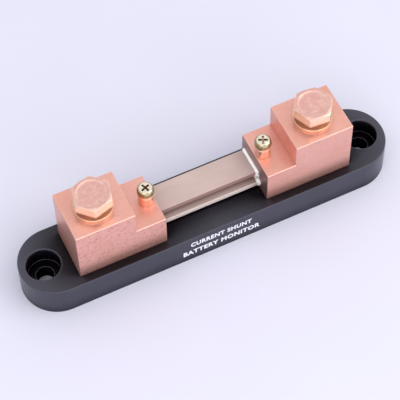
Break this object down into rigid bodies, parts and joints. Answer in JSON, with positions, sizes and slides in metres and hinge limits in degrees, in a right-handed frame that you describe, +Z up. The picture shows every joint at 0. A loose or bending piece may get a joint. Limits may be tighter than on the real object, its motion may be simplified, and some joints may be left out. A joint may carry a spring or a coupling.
{
  "type": "battery shunt",
  "caption": "Low-ohm current-measuring shunt: stepped copper terminal blocks with hex bolts and small sense screws, joined by resistance strips on a moulded base with round ends.",
  "frame": {"origin": "centre of the base's underside", "axes": "+Z up, away from the surface the base is fixed to; +X along the length, towards the right-hand block in the picture; +Y to the back"},
  "size_m": [0.145, 0.0274, 0.0459],
  "materials": {
    "base_moulding": "satin dark moulded plastic",
    "copper": null,
    "post_copper": null,
    "strip_alloy": null,
    "braze_alloy": "silver brazing alloy, bright",
    "washer_metal": "polished brass",
    "bolt_brass": "polished brass",
    "sense_screw_brass": "polished brass",
    "fixing_steel": "zinc-plated steel"
  },
  "bodies": {
    "shunt": {"base": "base_moulding", "resistor_strip_lower": "strip_alloy", "resistor_strip_upper": "strip_alloy", "terminal_block_left": "copper", "braze_lower_left": "braze_alloy", "braze_upper_left": "braze_alloy", "sense_post_left": "post_copper", "base_screw_left_inner": "fixing_steel", "base_screw_washer_left_inner": "fixing_steel", "base_screw_left_outer": "fixing_steel", "base_screw_washer_left_outer": "fixing_steel", "terminal_block_right": "copper", "braze_lower_right": "braze_alloy", "braze_upper_right": "braze_alloy", "sense_post_right": "post_copper", "base_screw_right_inner": "fixing_steel", "base_screw_washer_right_inner": "fixing_steel", "base_screw_right_outer": "fixing_steel", "base_screw_washer_right_outer": "fixing_steel"},
    "terminal_washers_left": {"terminal_flat_washer_left": "washer_metal", "terminal_spring_washer_left": "washer_metal"},
    "terminal_bolt_left": {"terminal_bolt_left": "bolt_brass"},
    "sense_washers_left": {"sense_flat_washer_left": "washer_metal", "sense_spring_washer_left": "washer_metal"},
    "sense_screw_left": {"sense_screw_left": "sense_screw_brass"},
    "terminal_washers_right": {"terminal_flat_washer_right": "washer_metal", "terminal_spring_washer_right": "washer_metal"},
    "terminal_bolt_right": {"terminal_bolt_right": "bolt_brass"},
    "sense_washers_right": {"sense_flat_washer_right": "washer_metal", "sense_spring_washer_right": "washer_metal"},
    "sense_screw_right": {"sense_screw_right": "sense_screw_brass"}
  },
  "joints": [
    {"name": "terminal_lift_left", "type": "slide", "parent": "shunt", "child": "terminal_washers_left", "axis": [0, 0, 1], "range_m": [0, 0.0125]},
    {"name": "terminal_turn_left", "type": "hinge", "parent": "terminal_washers_left", "child": "terminal_bolt_left", "pos_m": [-0.0425, 0, 0.038], "axis": [0, 0, 1], "range_deg": [0, 3600]},
    {"name": "sense_lift_left", "type": "slide", "parent": "shunt", "child": "sense_washers_left", "axis": [0, 0, 1], "range_m": [0, 0.006]},
    {"name": "sense_turn_left", "type": "hinge", "parent": "sense_washers_left", "child": "sense_screw_left", "pos_m": [-0.0229, 0, 0.0277], "axis": [0, 0, 1], "range_deg": [0, 4320]},
    {"name": "terminal_lift_right", "type": "slide", "parent": "shunt", "child": "terminal_washers_right", "axis": [0, 0, 1], "range_m": [0, 0.0125]},
    {"name": "terminal_turn_right", "type": "hinge", "parent": "terminal_washers_right", "child": "terminal_bolt_right", "pos_m": [0.0425, 0, 0.038], "axis": [0, 0, 1], "range_deg": [0, 3600]},
    {"name": "sense_lift_right", "type": "slide", "parent": "shunt", "child": "sense_washers_right", "axis": [0, 0, 1], "range_m": [0, 0.006]},
    {"name": "sense_turn_right", "type": "hinge", "parent": "sense_washers_right", "child": "sense_screw_right", "pos_m": [0.0229, 0, 0.0277], "axis": [0, 0, 1], "range_deg": [0, 4320]}
  ],
  "couplings": [
    {"joint": "terminal_turn_left", "follows": "terminal_lift_left", "rad_per_m": 5026.5},
    {"joint": "sense_turn_left", "follows": "sense_lift_left", "rad_per_m": 12566},
    {"joint": "terminal_turn_right", "follows": "terminal_lift_right", "rad_per_m": 5026.5},
    {"joint": "sense_turn_right", "follows": "sense_lift_right", "rad_per_m": 12566}
  ]
}
